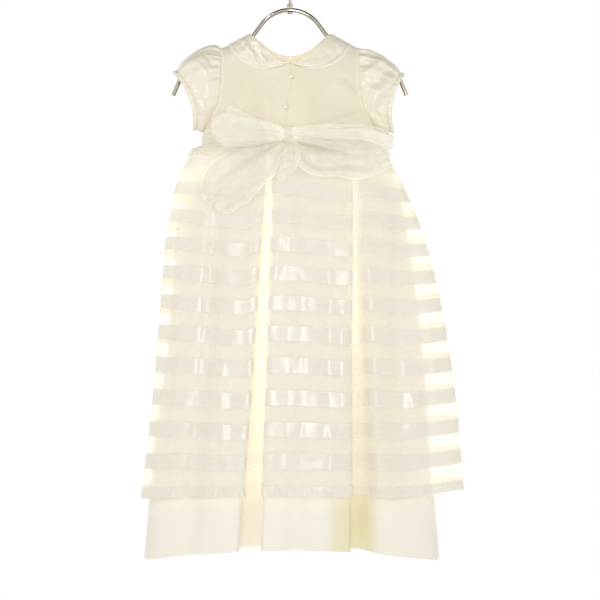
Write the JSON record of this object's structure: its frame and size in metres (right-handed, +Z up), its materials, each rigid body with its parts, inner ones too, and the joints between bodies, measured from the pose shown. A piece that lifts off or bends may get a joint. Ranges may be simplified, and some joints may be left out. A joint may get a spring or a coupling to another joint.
{
  "type": "christening gown on a hanger",
  "caption": "Baby's christening gown with collar, short sleeves, sash bow and striped sheer overskirt over a longer pleated skirt, hung on a bent-tube hanger.",
  "frame": {"origin": "the underside of the hook's bend, where a rail carries it", "axes": "+Z up; the front of the gown faces -Y; +X is to the right as the front is looked at"},
  "size_m": [0.452, 0.1357, 0.85],
  "materials": {
    "bodice_satin": "ivory satin",
    "collar_satin": "ivory satin",
    "underskirt_taffeta": "plain ivory taffeta",
    "striped_organza": "sheer organza with woven satin stripes",
    "ribbon_organza": "sheer organza ribbon",
    "pearl": "pearl",
    "nickel_steel": "nickel-plated steel"
  },
  "bodies": {
    "root": {"bodice_front_left": "bodice_satin", "bodice_front_right": "bodice_satin", "bodice_back": "bodice_satin", "collar": "collar_satin", "sleeve_left": "bodice_satin", "sleeve_right": "bodice_satin", "cuff_left": "bodice_satin", "cuff_right": "bodice_satin", "sash": "ribbon_organza", "bow_knot": "ribbon_organza", "bow_loop_left": "ribbon_organza", "bow_loop_right": "ribbon_organza", "bow_tail_left": "ribbon_organza", "bow_tail_right": "ribbon_organza", "overskirt_front": "striped_organza", "overskirt_back": "striped_organza", "underskirt_front": "underskirt_taffeta", "underskirt_back": "underskirt_taffeta", "button_upper": "pearl", "button_lower": "pearl", "hanger_arms": "nickel_steel", "hanger_nut": "nickel_steel", "hanger_rivet": "nickel_steel", "hanger_hook": "nickel_steel"}
  },
  "joints": []
}
